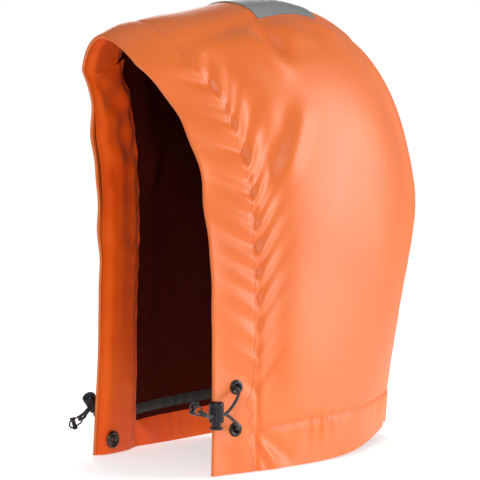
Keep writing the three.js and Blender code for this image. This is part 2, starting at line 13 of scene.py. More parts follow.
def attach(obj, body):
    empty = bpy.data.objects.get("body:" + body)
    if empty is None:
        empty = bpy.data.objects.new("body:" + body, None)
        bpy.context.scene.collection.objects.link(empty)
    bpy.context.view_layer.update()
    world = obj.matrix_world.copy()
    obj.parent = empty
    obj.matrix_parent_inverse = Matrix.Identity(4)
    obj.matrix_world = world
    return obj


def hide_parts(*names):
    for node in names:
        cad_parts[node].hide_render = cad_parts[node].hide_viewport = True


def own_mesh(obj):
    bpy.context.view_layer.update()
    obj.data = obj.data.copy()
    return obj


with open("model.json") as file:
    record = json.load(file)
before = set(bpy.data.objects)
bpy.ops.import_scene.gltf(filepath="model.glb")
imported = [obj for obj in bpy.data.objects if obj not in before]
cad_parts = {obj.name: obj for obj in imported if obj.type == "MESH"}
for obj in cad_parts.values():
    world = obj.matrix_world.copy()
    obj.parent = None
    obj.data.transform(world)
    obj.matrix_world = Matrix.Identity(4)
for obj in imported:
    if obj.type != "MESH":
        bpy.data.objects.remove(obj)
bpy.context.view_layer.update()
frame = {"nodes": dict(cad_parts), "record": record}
MM = 0.001

# ---- camera ----------------------------------------------------------
EYE = Vector((0.8895, -0.9414, 0.208))
VIEW_TURN, VIEW_DROP = math.radians(44), math.radians(0.9)
LENS = 107.8


def add_object(name, data):
    obj = bpy.data.objects.new(name, data)
    bpy.context.scene.collection.objects.link(obj)
    return obj


camera = add_object("camera", bpy.data.cameras.new("camera"))
camera.data.lens = LENS
camera.data.clip_end = 20
camera.location = EYE
camera.rotation_euler = (math.pi / 2 - VIEW_DROP, 0, VIEW_TURN)
bpy.context.scene.camera = camera

# ---- the hood's sizes, as its frame has them -------------------------
FACE_RISE, PEAK_REACH, HOOD_DEPTH, CROWN_HEIGHT = 0.355, 0.061, 0.307, 0.404
OPENING_HALF, SIDE_HALF, HEM_HALF = 0.077, 0.100, 0.095
HEM_LIFT, CROWN_SHARE = 0.013, 0.49
PANEL_HALF_FRONT, PANEL_HALF = 0.034, 0.046
BAND_WIDTH, FACING_WIDTH, HEM_BAND = 0.041, 0.052, 0.032
CORD, CORD_LINE, EYELET_HIGH, EYELET_LOW = 0.0026, 0.022, 0.0685, 0.035
STUD_IN, STUD_UP = 0.015, 0.013
PATCH_START, PATCH_LENGTH = 0.143, 0.082
CENTRE_Y = (PEAK_REACH - HOOD_DEPTH) / 2
LINING_DEPTH = 0.0021  # the lining's outer face below the hood's surface


# ---- the hood's surface ----------------------------------------------
def catmull(points, samples):
    """A uniform Catmull-Rom curve through the points."""
    p = np.array(points, float)
    n = len(p) - 1
    u = np.linspace(0, n, samples)
    i = np.minimum(u.astype(int), n - 1)
    w = (u - i)[:, None]
    p0, p1, p2, p3 = p[np.maximum(i - 1, 0)], p[i], p[i + 1], p[np.minimum(i + 2, n)]
    v0, v1 = (p2 - p0) / 2, (p3 - p1) / 2
    return (2 * p1 - 2 * p2 + v0 + v1) * w**3 + (-3 * p1 + 3 * p2 - 2 * v0 - v1) * w**2 + v0 * w + p1


class Line:
    """A plane curve, placed by the share of its length."""

    def __init__(self, points, samples=2400):
        self.points = catmull(points, samples)
        steps = np.linalg.norm(np.diff(self.points, axis=0), axis=1)
        self.run = np.concatenate([[0], np.cumsum(steps)])
        self.length = self.run[-1]

    def at(self, share):
        far = np.clip(share, 0, 1) * self.length
        return np.stack([np.interp(far, self.run, self.points[:, k]) for k in range(2)], -1)

    def tangent(self, share):
        step = self.at(np.asarray(share) + 2e-3) - self.at(np.asarray(share) - 2e-3)
        return step / np.linalg.norm(step, axis=-1, keepdims=True)


centre_profile = [
    (-PEAK_REACH / HOOD_DEPTH, FACE_RISE / CROWN_HEIGHT), (-0.057, 0.92), (0.073, 0.946), (0.182, 0.967),
    (0.31, 0.99), (0.42, 1), (0.53, 0.994), (0.625, 0.975), (0.72, 0.937), (0.808, 0.879), (0.884, 0.806),
    (0.944, 0.72), (0.985, 0.628), (1, 0.54), (0.981, 0.42), (0.944, 0.294), (0.92, 0.17),
    (0.908, HEM_LIFT / CROWN_HEIGHT),
]
centre_line = Line([(y * HOOD_DEPTH, z * CROWN_HEIGHT) for y, z in centre_profile])
CROWN_LENGTH = CROWN_SHARE * centre_line.length


def near_edge(s):
    return np.exp(-s / 0.18)


def spread(s, t):
    return (61 + 35 * near_edge(s) + 64 * s * s * (1 - t) ** 3) * MM


def power(s):
    return 0.5 + 0.05 * near_edge(s)


def half_width(s, t):
    edge_half = OPENING_HALF - 2 * MM * (1 - (1 - t) ** 8)
    side_half = HEM_HALF + (SIDE_HALF - HEM_HALF) * np.sin(math.pi * np.minimum(t, 0.5))
    return edge_half + (side_half - edge_half) * (1 - np.exp(-((s / 0.26) ** 2)))


def panel_half(s):
    return PANEL_HALF + (PANEL_HALF_FRONT - PANEL_HALF) * np.exp(-s / 0.08)


def line_frame(along):
    at = np.where(along <= 1, along * CROWN_SHARE, CROWN_SHARE + (along - 1) * (1 - CROWN_SHARE))
    tangent = centre_line.tangent(at)
    return centre_line.at(at), np.stack([tangent[..., 1], -tangent[..., 0]], -1)


def strip_point(along, x):
    s, t = np.minimum(along, 1), np.where(along <= 1, 1, 2 - along)
    point, inward = line_frame(along)
    inset = -spread(s, t) * np.log(1 - (np.abs(x) / half_width(s, t)) ** (1 / power(s)))
    yz = point + inward * inset[..., None]
    return np.stack([x, yz[..., 0] + CENTRE_Y, yz[..., 1]], -1)


def seam_point(along):
    along = np.asarray(along, float)
    return strip_point(along, panel_half(np.minimum(along, 1)))[..., 1:] - [CENTRE_Y, 0]


EDGE_FOOT = -3 * MM
EDGE_TOP, CORNER, SEAM_FOOT = seam_point(0), seam_point(1), seam_point(2)
edge = Line([
    (EDGE_FOOT, 0), (-MM, 0.15 * FACE_RISE), (0, 0.32 * FACE_RISE), (-MM, 0.51 * FACE_RISE),
    (-0.1 * PEAK_REACH, 0.68 * FACE_RISE), (-0.26 * PEAK_REACH, 0.768 * FACE_RISE),
    (-0.41 * PEAK_REACH, 0.835 * FACE_RISE), tuple(EDGE_TOP),
])
HEM_ROW = HEM_BAND / edge.length
line_points = centre_line.at(np.linspace(0, 1, 181))


def inset_of(yz):
    best = np.full(yz.shape[:-1], 1e9)
    for a, b in zip(line_points[:-1], line_points[1:]):
        step = b - a
        at = np.clip(((yz - a) @ step) / (step @ step), 0, 1)
        best = np.minimum(best, np.linalg.norm(yz - a - at[..., None] * step, axis=-1))
    return best


def side_point(s, t):
    s, t = np.broadcast_arrays(np.asarray(s, float), np.asarray(t, float))
    S, T = s[..., None], t[..., None]
    lift = SEAM_FOOT[1] * np.clip((s - 0.4) / 0.6, 0, 1) ** 2
    hem = np.stack([EDGE_FOOT + s * (SEAM_FOOT[0] - EDGE_FOOT), lift], -1)
    yz = (1 - T) * hem + T * seam_point(s) + (1 - S) * edge.at(t) + S * seam_point(2 - t)
    yz = yz - S * (1 - T) * SEAM_FOOT - (1 - S) * T * EDGE_TOP - S * T * CORNER
    x = half_width(s, t) * (1 - np.exp(-inset_of(yz) / spread(s, t))) ** power(s)
    return np.stack([x, yz[..., 0] + CENTRE_Y, yz[..., 1]], -1)


def row_length(t):
    foot = SEAM_FOOT[0] - EDGE_FOOT
    return foot + (CROWN_LENGTH - foot) * t


def strip_at(along, share):
    along, share = np.broadcast_arrays(np.asarray(along, float), np.asarray(share, float))
    return strip_point(along, share * panel_half(np.minimum(along, 1)))


def normals(point, u, v, u_top, v_low, v_top, sign):
    e = 2e-3
    du = point(np.minimum(u + e, u_top), v) - point(np.maximum(u - e, 0), v)
    dv = point(u, np.minimum(v + e, v_top)) - point(u, np.maximum(v - e, v_low))
    n = sign * np.cross(du, dv)
    return n / np.linalg.norm(n, axis=-1, keepdims=True)


# ---- folds and puckers -----------------------------------------------
def bump(x, width):
    return np.exp(-((x / width) ** 2))


def ramp(x, low, high):
    k = np.clip((x - low) / (high - low), 0, 1)
    return k * k * (3 - 2 * k)


def crease(d, h, start, end, width, height):
    """A soft ridge or valley along a straight run, fading at its ends. d and h are millimetres behind the
    opening's edge and up it."""
    a, b = np.array(start, float), np.array(end, float)
    run = b - a
    length = np.hypot(*run)
    along = ((d - a[0]) * run[0] + (h - a[1]) * run[1]) / length**2
    off = ((d - a[0]) * run[1] - (h - a[1]) * run[0]) / length
    ends = ramp(along, -0.25, 0.2) * (1 - ramp(along, 0.8, 1.25))
    return height * bump(off, width) * ends


# Puckers at the channel's stitching: height up the edge, strength and width, in millimetres. They slant
# down to the stitching across the channel and up from it across the panel. Large ones, then small ones.
PUCKERS = [
    (58, -1.6, 5), (98, 1.2, 5), (120, 1.9, 5), (141, 1.8, 5), (160, 2.7, 5), (181, 3.3, 6), (205, 4.4, 6),
    (233, 4.9, 6.5), (262, 4.0, 7), (292, 3.0, 7), (318, 1.6, 7),
    (80, 1.0, 3.5), (109, -0.9, 3), (131, -0.9, 3), (150, -1.1, 3), (171, -1.2, 3.2), (192, 1.5, 3),
    (219, 1.9, 3.4), (247, -2.0, 3.6), (277, 1.9, 3.6), (306, -1.6, 4),
]
FAR_PUCKER = 0.5  # the right side's puckers are this share of the left side's
# Long soft folds of the side panel: start, end, width, height, in millimetres behind the edge and up it.
PANEL_FOLDS = [
    ((132, 352), (124, 312), 8, -6.5), ((96, 362), (112, 300), 11, 3.6), ((152, 356), (158, 318), 13, 2.6),
    ((66, 340), (62, 215), 15, -4.5), ((96, 270), (60, 228), 9, -2.6), ((112, 268), (78, 226), 9, 2.8),
    ((66, 190), (58, 60), 12, -1.6), ((245, 330), (258, 60), 24, -3.4), ((283, 300), (272, 70), 14, 2.4),
    ((190, 240), (205, 60), 34, 2.0), ((180, 346), (186, 322), 7, -1.8), ((206, 348), (214, 322), 8, 1.8),
]
# Folds that fan out from the corner where the channel, the hem band and the side panel meet.
CORNER_START = (38, 30)
CORNER_FOLDS = [((62, 2), 5, 2.4), ((78, 6), 6, -2.2), ((52, 4), 4, -1.8)]
# The stitched edge of the channel is drawn forward at these heights: height, reach and width.
EDGE_NIPS = [(54, 7.5, 6), (38, 5, 3.5), (27, 4, 3), (16, 2.5, 3)]
# The cloth lies flat round each eyelet and the stud: places behind the edge and up it, in metres.
FLAT_SPOTS = [(CORD_LINE, EYELET_HIGH), (CORD_LINE, EYELET_LOW), (STUD_IN, STUD_UP)]


def edge_height(t):
    return t * edge.length / MM


def band_end(t):
    """How far behind the opening's edge the channel is stitched down."""
    h = edge_height(t)
    return BAND_WIDTH - sum(reach * bump(h - place, width) for place, reach, width in EDGE_NIPS) * MM


def seam_pull(d, to_seam, hem_height):
    """The relief that the side and centre panels share along their seam, in millimetres."""
    band = BAND_WIDTH / MM
    out = 1.5 * np.sin(math.pi * np.clip(d / band, 0, 1)) - 1.3 * bump(d - band - 1.5, 3.4)
    out = out - 2.4 * np.exp(-((to_seam / 7) ** 2)) * ramp(d, 20, 70)
    out = out - 1.2 * np.exp(-to_seam / 20) * ramp(d, 60, 160)
    out = out + 5.0 * (1 - ramp(hem_height, 60, 210)) * np.exp(-to_seam / 60) * ramp(d, 90, 200)
    return out - 1.1 * bump(hem_height - HEM_BAND / MM, 2.6) * ramp(d, band, band + 6)


def side_relief(s, t, hand):
    """How far the cloth stands out from the smooth form, in metres."""
    d = s * row_length(t) / MM
    h = edge_height(t)
    to_seam = np.minimum((1 - s) * row_length(t), (1 - t) * edge.length) / MM
    band, hem = BAND_WIDTH / MM, HEM_BAND / MM
    free = 0 * d * h
    for place, strength, width in PUCKERS:
        slant = np.where(d < band, 0.7 * (band - d), 1.0 * (d - band))
        reach = np.where(d < band, np.exp(-(((band - d) / 22) ** 2)), np.exp(-(((d - band) / 20) ** 2)))
        swell = np.clip((d + 2) / 12, 0, 1)
        size = strength * (1 if hand > 0 else FAR_PUCKER)
        free = free + size * reach * swell * bump(h - place - 5 * hand - slant, width)
    for start, end, width, height in PANEL_FOLDS:
        shift = 0 if hand > 0 else 9
        moved = [(a + shift, b - 0.4 * shift) for a, b in (start, end)]
        free = free + crease(d, h, *moved, width, height) * ramp(d, band, band + 12)
    # the hem band has small upright puckers under its stitching
    ripple = np.sin(d / 2.6 + 1.3 * np.sin(d / 9.0)) * (0.5 + 0.5 * np.sin(d / 17.0 + 1.0))
    behind = ramp(d, band, band + 6)
    free = free + 0.85 * ripple * behind * bump(h - hem + 7, 12)
    free = free + 1.8 * behind * (1 - ramp(h, 10, 45)) * np.sin(d / 21 + 0.6)
    for end, width, height in CORNER_FOLDS:
        free = free + crease(d, h, CORNER_START, end, width, height)
    # the edge of the opening wanders a little
    free = free + (1.1 * np.sin(h / 13 + hand) + 0.8 * np.sin(h / 7.3)) * np.exp(-d / 9) * ramp(h, 90, 200)
    free = free + 0.5 * np.sin(h / 4.1 + d / 9) * np.exp(-to_seam / 9) + 0.5 * np.sin(h / 19 + d / 27)
    # the right side's edge stands out at mid height and draws in below the peak
    if hand < 0:
        free = free + (5.5 * bump(h - 245, 60) - 4.0 * bump(h - 350, 40)) * bump(d, 45)
    for spot, height in FLAT_SPOTS:
        free = free * (1 - np.exp(-(((d - spot / MM) ** 2 + (h - height / MM) ** 2) / 110) ** 2))
    calm = 1 - 0.9 * (1 - ramp(h, 70, 110)) * (1 - behind)
    shared = seam_pull(d, to_seam, h)
    return (shared * np.where(d < band, calm, 1) + free * (1 - np.exp(-((to_seam / 9) ** 2)))) * MM


def strip_relief(along, share):
    """The same for the centre panel."""
    d = along * CROWN_LENGTH / MM
    to_seam = (1 - np.abs(share)) * PANEL_HALF / MM
    wave = 1.5 * np.sin(d / 13.5 + 0.8 * share) + 1.1 * np.sin(d / 7.7 + 2 * share)
    free = wave * ramp(d, 250, 300) * (1 - ramp(d, 420, 520)) + 0.7 * np.sin(d / 21) * ramp(d, 50, 90)
    shared = seam_pull(d, to_seam, (2 - along) * edge.length / MM)
    return (shared + free * (1 - np.exp(-((to_seam / 9) ** 2)))) * MM


# ---- meshes ----------------------------------------------------------
def make_object(name, vertices, faces, sharp=50):
    mesh = bpy.data.meshes.new(name)
    mesh.from_pydata([tuple(v) for v in vertices], [], faces)
    mesh.validate()
    mesh.polygons.foreach_set("use_smooth", [True] * len(mesh.polygons))
    mesh.set_sharp_from_angle(angle=math.radians(sharp))
    return add_object(name, mesh)


def sheet_mesh(name, outer, inner, hand=1):
    """The closed skin round two grids of points."""
    rows, columns = outer.shape[:2]
    points = np.concatenate([outer.reshape(-1, 3), inner.reshape(-1, 3)])
    points[:, 0] *= hand
    far = rows * columns
    at = np.arange(far).reshape(rows, columns)
    quads = [np.stack([at[:-1, :-1], at[:-1, 1:], at[1:, 1:], at[1:, :-1]], -1).reshape(-1, 4)]
    quads.append(np.stack([at[:-1, :-1], at[1:, :-1], at[1:, 1:], at[:-1, 1:]], -1).reshape(-1, 4) + far)
    for k, flip in ((0, False), (-1, True)):
        for run in (at[:, k], at[k, ::-1]):
            wall = np.stack([run[:-1], run[1:], run[1:] + far, run[:-1] + far], -1)
            quads.append(wall[:, ::-1] if flip else wall)
    faces = np.concatenate(quads)
    if hand < 0:
        faces = faces[:, ::-1]
    return make_object(name, points, faces.tolist())


def lathe(name, profile, matrix, sides=40, flute=None):
    """Turned round Z from (radius, height) points that start and end on the axis or close on themselves."""
    closed = profile[0][0] > 1e-9
    turn = np.linspace(0, 2 * math.pi, sides, endpoint=False)
    vertices, rings = [], []
    for r, z in profile:
        if r < 1e-9:
            rings.append([len(vertices)] * sides)
            vertices.append((0, 0, z))
            continue
        rings.append(list(range(len(vertices), len(vertices) + sides)))
        rr = r * np.ones(sides) if flute is None else flute(r, z, turn)
        vertices += [(a * math.cos(q), a * math.sin(q), z) for a, q in zip(rr, turn)]
    pairs = list(zip(rings, rings[1:])) + ([(rings[-1], rings[0])] if closed else [])
    faces = []
    for a, b in pairs:
        for i in range(sides):
            j = (i + 1) % sides
            face = [a[i], a[j], b[j], b[i]]
            face = [v for k, v in enumerate(face) if v != face[k - 1]]
            if len(face) > 2:
                faces.append(face)
    points = [matrix @ Vector(v) for v in vertices]
    return make_object(name, points, faces, sharp=40)


def carve(obj, cutters):
    """Cuts other objects out of obj and keeps the plain result."""
    for cutter in cutters:
        step = obj.modifiers.new("cut", "BOOLEAN")
        step.operation, step.solver, step.object = "DIFFERENCE", "EXACT", cutter
    depsgraph = bpy.context.evaluated_depsgraph_get()
    mesh = bpy.data.meshes.new_from_object(obj.evaluated_get(depsgraph))
    obj.modifiers.clear()
    obj.data = mesh
    mesh.polygons.foreach_set("use_smooth", [True] * len(mesh.polygons))
    mesh.set_sharp_from_angle(angle=math.radians(35))
    for cutter in cutters:
        bpy.data.objects.remove(cutter)
    return obj


def block(low, high, matrix):
    """A cutting box between two corners, in millimetres."""
    x, y, z = [(a * MM, b * MM) for a, b in zip(low, high)]
    corners = [matrix @ Vector((x[i & 1], y[i >> 1 & 1], z[i >> 2 & 1])) for i in range(8)]
    faces = [(0, 2, 3, 1), (4, 5, 7, 6), (0, 1, 5, 4), (2, 6, 7, 3), (0, 4, 6, 2), (1, 3, 7, 5)]
    return make_object("cutter", corners, faces)


# ---- materials -------------------------------------------------------
WAVE_PITCH = 0.314  # a wave texture of scale 1 repeats every 0.314 m


class Paint:
    """A small builder for one node material."""

    def __init__(self, name, roughness, metallic=0.0, **sockets):
        self.material = bpy.data.materials.new(name)
        self.material.use_nodes = True
        self.tree = self.material.node_tree
        self.shader = self.tree.nodes["Principled BSDF"]
        self.shader.inputs["Roughness"].default_value = roughness
        self.shader.inputs["Metallic"].default_value = metallic
        for socket, value in sockets.items():
            self.shader.inputs[socket.replace("_", " ")].default_value = value
        self.place = self.node("ShaderNodeTexCoord").outputs["Object"]

    def node(self, kind, **values):
        made = self.tree.nodes.new(kind)
        for key, value in values.items():
            if hasattr(made, key):
                setattr(made, key, value)
            else:
                made.inputs[key].default_value = value
        return made

    def link(self, output, socket):
        self.tree.links.new(output, socket)
        return self

    def noise(self, scale, detail):
        noise = self.node("ShaderNodeTexNoise", Scale=scale, Detail=detail)
        self.link(self.place, noise.inputs["Vector"])
        return noise.outputs["Fac"]

    def weave(self, pitch, turn=0.0):
        """Two sets of threads crossing, as a height from 0 to 1. pitch is the thread spacing."""
        mapping = self.node("ShaderNodeMapping")
        mapping.inputs["Rotation"].default_value = (turn, 0, 0)
        self.link(self.place, mapping.inputs["Vector"])
        waves = []
        for direction in ("Y", "Z"):
            wave = self.node("ShaderNodeTexWave", wave_type="BANDS", bands_direction=direction,
                             Scale=WAVE_PITCH / pitch)
            wave.inputs["Distortion"].default_value = 0.6
            wave.inputs["Detail"].default_value = 1.0
            self.link(mapping.outputs["Vector"], wave.inputs["Vector"])
            waves.append(wave.outputs["Fac"])
        return self.math("MULTIPLY", *waves)

    def math(self, operation, a, b):
        made = self.node("ShaderNodeMath", operation=operation)
        for value, socket in ((a, made.inputs[0]), (b, made.inputs[1])):
            if isinstance(value, (int, float)):
                socket.default_value = value
            else:
                self.link(value, socket)
        return made.outputs["Value"]

    def tone(self, factor, low, high, low_at=0.3, high_at=0.7):
        """The base colour runs from low to high with the factor."""
        colours = self.node("ShaderNodeValToRGB")
        for element, place, colour in zip(colours.color_ramp.elements, (low_at, high_at), (low, high)):
            element.position, element.color = place, (*colour, 1)
        self.link(factor, colours.inputs["Fac"])
        self.link(colours.outputs["Color"], self.shader.inputs["Base Color"])
        return self

    def raise_by(self, height, distance, strength=1.0):
        made = self.node("ShaderNodeBump", Distance=distance, Strength=strength)
        self.link(height, made.inputs["Height"])
        if getattr(self, "last_bump", None):
            self.link(self.last_bump, made.inputs["Normal"])
        self.last_bump = made.outputs["Normal"]
        self.link(self.last_bump, self.shader.inputs["Normal"])
        return self


def outer_cloth():
    paint = Paint("outer_cloth", 0.47, Sheen_Weight=0.1, Sheen_Roughness=0.5, Specular_IOR_Level=0.72)
    paint.shader.inputs["Sheen Tint"].default_value = (1, 0.78, 0.66, 1)
    paint.tone(paint.noise(9, 2), (0.74, 0.13, 0.006), (0.80, 0.158, 0.011))
    paint.raise_by(paint.weave(0.45 * MM), 0.05 * MM, 0.4)
    return paint.raise_by(paint.noise(60, 4), 0.5 * MM, 0.3).material


def inner_cloth():
    paint = Paint("inner_cloth", 0.45, Sheen_Weight=0.05, Specular_IOR_Level=0.3)
    paint.tone(paint.noise(14, 3), (0.86, 0.085, 0.0015), (1.0, 0.15, 0.006))
    paint.raise_by(paint.weave(0.45 * MM), 0.05 * MM, 0.5)
    return paint.raise_by(paint.noise(45, 4), 0.8 * MM, 0.5).material


def reflective_film():
    paint = Paint("reflective_film", 0.38, 0.25, Specular_IOR_Level=0.6)
    paint.tone(paint.noise(30, 3), (0.23, 0.24, 0.25), (0.32, 0.33, 0.34))
    return paint.raise_by(paint.weave(0.7 * MM), 0.06 * MM, 0.7).material


def woven(name, roughness, pitch, turn, dark, light, depth, stops=(0.3, 0.7), **sockets):
    """Threads crossing, darker between them."""
    paint = Paint(name, roughness, **sockets)
    threads = paint.weave(pitch * MM, math.radians(turn))
    paint.tone(threads, dark, light, *stops)
    return paint.raise_by(threads, depth * MM, 0.9).material


def speckled(name, roughness, metallic, spots, dark, light, grain, depth, strength, **sockets):
    """Two near tones in fine spots, with a finer grain raised on them."""
    paint = Paint(name, roughness, metallic, **sockets)
    paint.tone(paint.noise(*spots), dark, light)
    return paint.raise_by(paint.noise(*grain), depth * MM, strength).material


def thread(name, dark, light):
    return speckled(name, 0.6, 0, (900, 2), dark, light, (2500, 2), 0.05, 0.5, Sheen_Weight=0.2)


MATERIALS = {
    "outer_cloth": outer_cloth(), "inner_cloth": inner_cloth(), "reflective_film": reflective_film(),
    "mesh_lining": woven("mesh_lining", 0.9, 2.0, 45, (0.03, 0.003, 0.001), (0.16, 0.018, 0.009), 0.5,
                         (0.15, 0.75), Specular_IOR_Level=0.05),
    "binding_tape": woven("binding_tape", 0.75, 0.9, 0, (0.004, 0.004, 0.004), (0.022, 0.021, 0.021), 0.2,
                          Sheen_Weight=0.2),
    "elastic_cord": woven("elastic_cord", 0.6, 0.8, 38, (0.004, 0.004, 0.005), (0.03, 0.03, 0.032), 0.25,
                          Sheen_Weight=0.3, Specular_IOR_Level=0.4),
    "lock_plastic": speckled("lock_plastic", 0.24, 0, (300, 2), (0.004, 0.004, 0.0045), (0.01, 0.01, 0.011),
                             (900, 2), 0.05, 0.25, Specular_IOR_Level=0.4),
    "eyelet_enamel": speckled("eyelet_enamel", 0.22, 0.3, (400, 3), (0.006, 0.005, 0.005),
                              (0.018, 0.015, 0.014), (700, 2), 0.05, 0.2, Coat_Weight=0.25),
    "stud_metal": speckled("stud_metal", 0.33, 0.9, (350, 4), (0.05, 0.036, 0.03), (0.14, 0.11, 0.095),
                           (900, 3), 0.04, 0.3),
    "spring_steel": speckled("spring_steel", 0.3, 1, (500, 2), (0.5, 0.5, 0.5), (0.66, 0.66, 0.66),
                             (900, 2), 0.03, 0.3),
}
ORANGE_THREAD = thread("orange_thread", (0.62, 0.09, 0.012), (0.85, 0.16, 0.03))
TAN_THREAD = thread("tan_thread", (0.30, 0.14, 0.06), (0.48, 0.25, 0.12))
GREY_THREAD = thread("grey_thread", (0.3, 0.3, 0.3), (0.5, 0.5, 0.49))


def paint_nodes():
    """Every CAD node that still shows gets its slot's material."""
    slot_of = {row["node"]: row["material_slot"] for row in frame["record"]["subparts"]}
    for name, node in frame["nodes"].items():
        node.data.materials.clear()
        node.data.materials.append(MATERIALS[slot_of[name]])


def finish_piece(obj, slot, node=None, body="hood", material=None):
    obj.data.materials.clear()
    obj.data.materials.append(material or MATERIALS[slot])
    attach(obj, body)
    if node:
        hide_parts(node)
    return obj


# ---- cloth pieces ----------------------------------------------------
CLOTH = 0.5 * MM
HEM_PROUD, PATCH_PROUD, LINING_DROP = 0.5 * MM, 0.75 * MM, 0.9 * MM
FACING_START = 2.2 * MM  # the facing begins this far inside the fold
FACING_FOLLOW, LINING_FOLLOW = 0.5, 0.62  # how much of the outer cloth's outward folds they follow


def frame_at(distance, height, hand):
    """The surface's own frame at a place: Z outward."""
    t = np.array(height / edge.length)
    s = np.array(distance / row_length(t))
    origin = Vector(side_point(s, t))
    normal = Vector(normals(side_point, s, t, 1, 0, 1, 1))
    origin.x *= hand
    normal.x *= hand
    across = Vector((0, 0, 1)).cross(normal).normalized()
    matrix = Matrix((across, normal.cross(across), normal)).transposed().to_4x4()
    matrix.translation = origin
    return matrix


def side_cloth(s, t, hand, offset, relief=1.0):
    """Points of the left side's cloth at an offset from the smooth form, with its folds."""
    n = normals(side_point, s, t, 1, 0, 1, 1)
    flat = np.broadcast_to(np.asarray(t) <= 0, n.shape[:-1])
    n[..., 2] = np.where(flat, 0, n[..., 2])
    n = n / np.linalg.norm(n, axis=-1, keepdims=True)
    folds = side_relief(s, t, hand)
    rise = offset + np.where(folds > 0, relief, np.minimum(1, 1.6 * relief)) * folds
    return side_point(s, t) + n * rise[..., None], n


def strip_cloth(along, share, offset, relief=1.0):
    n = normals(strip_at, along, share, 2, -1.05, 1.05, -1)
    folds = strip_relief(along, share)
    rise = offset + np.where(folds > 0, relief, np.minimum(1, 1.6 * relief)) * folds
    return strip_at(along, share) + n * rise[..., None], n


def grid(first, last, count):
    return np.linspace(first, last, count)


def build_sheet(name, slot, node, points, hand):
    """points(offset) gives the grid at an offset; the cloth lies between 0 and -CLOTH."""
    obj = sheet_mesh(name, points(0.0), points(-CLOTH), hand)
    finish_piece(obj, slot, node)


OVERLAP = 9 * MM  # how far a panel runs on under the band that is stitched over it
EYELET_CUT = 3.8 * MM  # radius of the hole in the cloth under an eyelet
BAND_PROUD = 0.7 * MM


def facing_dip(d):
    """How deep the facing lies: in the fold, over the cord, and down on the lining."""
    return 2.7 * MM + 4.0 * MM * ramp(d, 2 * MM, 12 * MM) - 3.2 * MM * ramp(d, 36 * MM, FACING_WIDTH)


def band_profile(count):
    """Distances behind the edge and depths, from inside the fold, round it and back over the channel."""
    radius = 1.3 * MM
    turn = np.linspace(-math.pi / 2, math.pi / 2, 9)
    flat = np.linspace(radius * 2, BAND_WIDTH, count)
    distance = np.concatenate([[4 * MM], radius * (1 - np.cos(turn)), flat])
    depth = np.concatenate([[2 * radius], radius - radius * np.sin(turn), np.zeros(count)])
    return distance, depth


def band_rise(distance, depth, offset):
    """The channel's height over the surface, for its outer skin at offset 0 and its inner skin below."""
    turned_in = np.where((depth > 1.6 * MM) & (np.arange(len(distance)) <= 1), -offset, offset)
    return BAND_PROUD * ramp(distance, 5 * MM, 30 * MM) - depth + turned_in


def side_pieces(name, hand):
    rows = grid(0, 1, 170)[:, None]
    lower = grid(0, HEM_ROW, 18)[:, None]
    upper = grid(HEM_ROW - OVERLAP / edge.length, 1, 150)[:, None]

    # the channel's outer layer, folded in round the opening's edge
    distance, depth = band_profile(24)

    def band(offset):
        reach = 1 + (band_end(rows) / BAND_WIDTH - 1) * ramp(distance[None, :], 6 * MM, BAND_WIDTH)
        s = distance[None, :] * reach / row_length(rows)
        return side_cloth(s, rows, hand, band_rise(distance, depth, offset)[None, :])[0]

    cloth = sheet_mesh(f"{name}_brim_cloth", band(0.0), band(-CLOTH), hand)
    holes = [lathe("cutter", [(0, -4 * MM), (EYELET_CUT, -4 * MM), (EYELET_CUT, 3 * MM), (0, 3 * MM)],
                   frame_at(CORD_LINE, height, hand), 32) for height in (EYELET_HIGH, EYELET_LOW)]
    finish_piece(carve(cloth, holes), "outer_cloth", f"{name}_brim_band")

    def panel(offset):
        s = grid(0, 1, 130)[None, :] * (1 - (BAND_WIDTH - OVERLAP) / row_length(upper))
        s = s + (BAND_WIDTH - OVERLAP) / row_length(upper)
        return side_cloth(s, upper, hand, offset)[0]

    build_sheet(f"{name}_side_cloth", "outer_cloth", f"{name}_side_panel", panel, hand)

    def hem(offset):
        start = (BAND_WIDTH - OVERLAP) / row_length(lower)
        s = start + grid(0, 1, 190)[None, :] * (1 - start)
        return side_cloth(s, lower, hand, offset + HEM_PROUD)[0]

    build_sheet(f"{name}_hem_cloth", "outer_cloth", f"{name}_neck_band", hem, hand)

    # the facing lies back from the fold, over the cord, and down on the lining
    def facing(offset):
        d = grid(FACING_START, FACING_WIDTH, 26)[None, :]
        dip = facing_dip(d)
        h = edge_height(rows)
        crumple = 1.2 * np.sin(h / 8.5 + d / MM / 6 + hand) * np.sin(h / 23) * ramp(h, 120, 260)
        crumple = crumple + 0.7 * np.sin(h / 5.1 - d / MM / 9) * ramp(h, 180, 290)
        crumple = crumple - 1.9 * ramp(d, 24 * MM, 42 * MM) * ramp(h, 120, 260)
        s = d / row_length(rows)
        follow = FACING_FOLLOW * (1 - bump(d - CORD_LINE, 9 * MM))
        return side_cloth(s, rows, hand, offset - dip + crumple * MM * ramp(d, 3 * MM, 14 * MM), follow)[0]

    build_sheet(f"{name}_facing_cloth", "inner_cloth", f"{name}_facing", facing, hand)

    def inner(rows_used, drop, sag):
        def points(offset):
            start = (FACING_WIDTH - OVERLAP) / row_length(rows_used)
            s = start + grid(0, 1, 90)[None, :] * (1 - start)
            d = s * row_length(rows_used) / MM
            h = edge_height(rows_used)
            soft = sag * (np.sin(d / 24 + h / 60) + 0.6 * np.sin(h / 33 - d / 41)) * ramp(h, 30, 70)
            return side_cloth(s, rows_used, hand, offset - drop + soft * MM, LINING_FOLLOW)[0]
        return points

    build_sheet(f"{name}_lining_cloth", "mesh_lining", f"{name}_side_lining",
                inner(upper, LINING_DEPTH + LINING_DROP, 0.5), hand)
    build_sheet(f"{name}_neck_facing_cloth", "inner_cloth", f"{name}_neck_facing",
                inner(lower, LINING_DEPTH, 0.0), hand)


